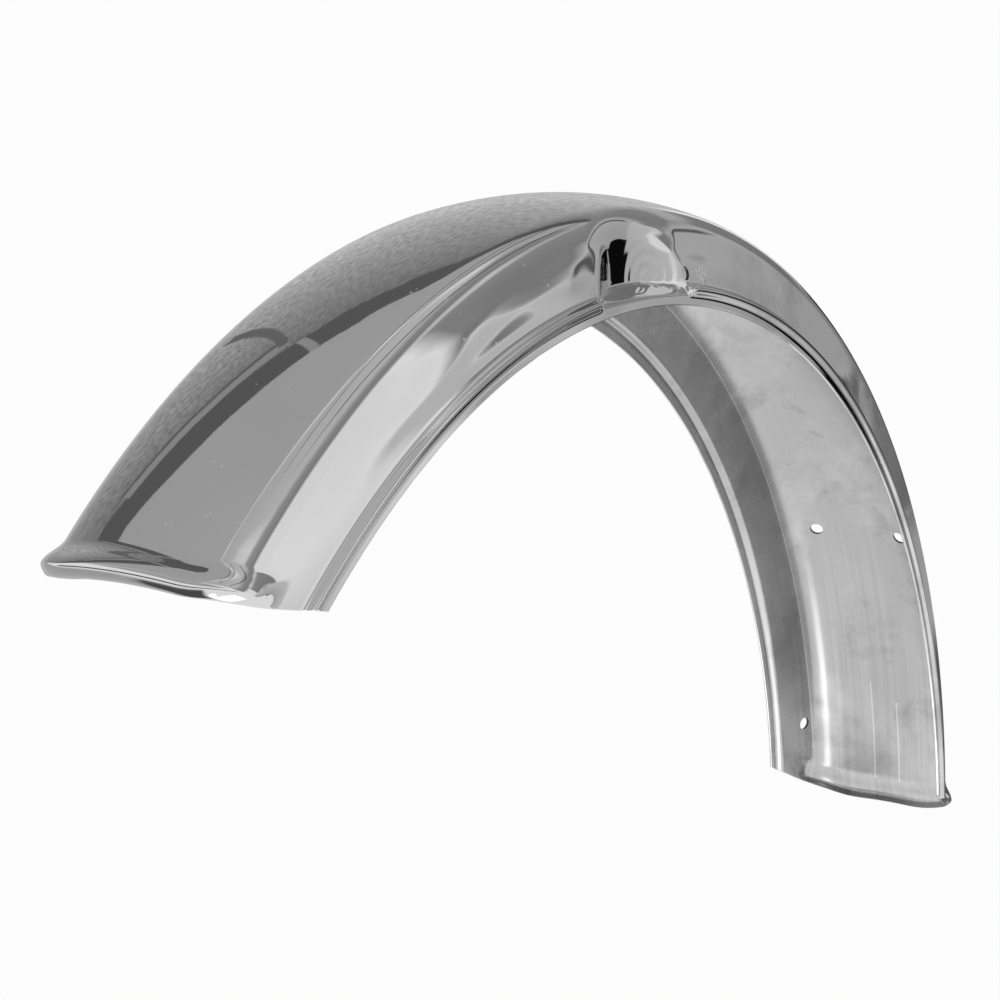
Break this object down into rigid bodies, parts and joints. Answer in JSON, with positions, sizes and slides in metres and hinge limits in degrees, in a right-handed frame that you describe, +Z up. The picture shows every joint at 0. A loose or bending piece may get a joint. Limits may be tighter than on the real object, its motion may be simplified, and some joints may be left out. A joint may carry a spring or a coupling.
{
  "type": "motorcycle front mudguard",
  "caption": "Chromed pressed-steel front mudguard with beaded hems, turned-up end lips, dents that clear the fork legs, and holes for its bracket and stays.",
  "frame": {"origin": "midway between the two fork bracket holes, on the line through their centres; the wheel's axle is at (0.1792, 0, -0.2735)", "axes": "+X forwards, +Y to the rider's left, +Z up, with the guard at the attitude that it has on the machine and the fork legs raked 27 degrees"},
  "size_m": [0.4725, 0.097, 0.5048],
  "materials": {
    "chromed_sheet": "polished chrome outside, dull scratched chrome inside"
  },
  "bodies": {
    "root": {"mudguard": "chromed_sheet"}
  },
  "joints": []
}
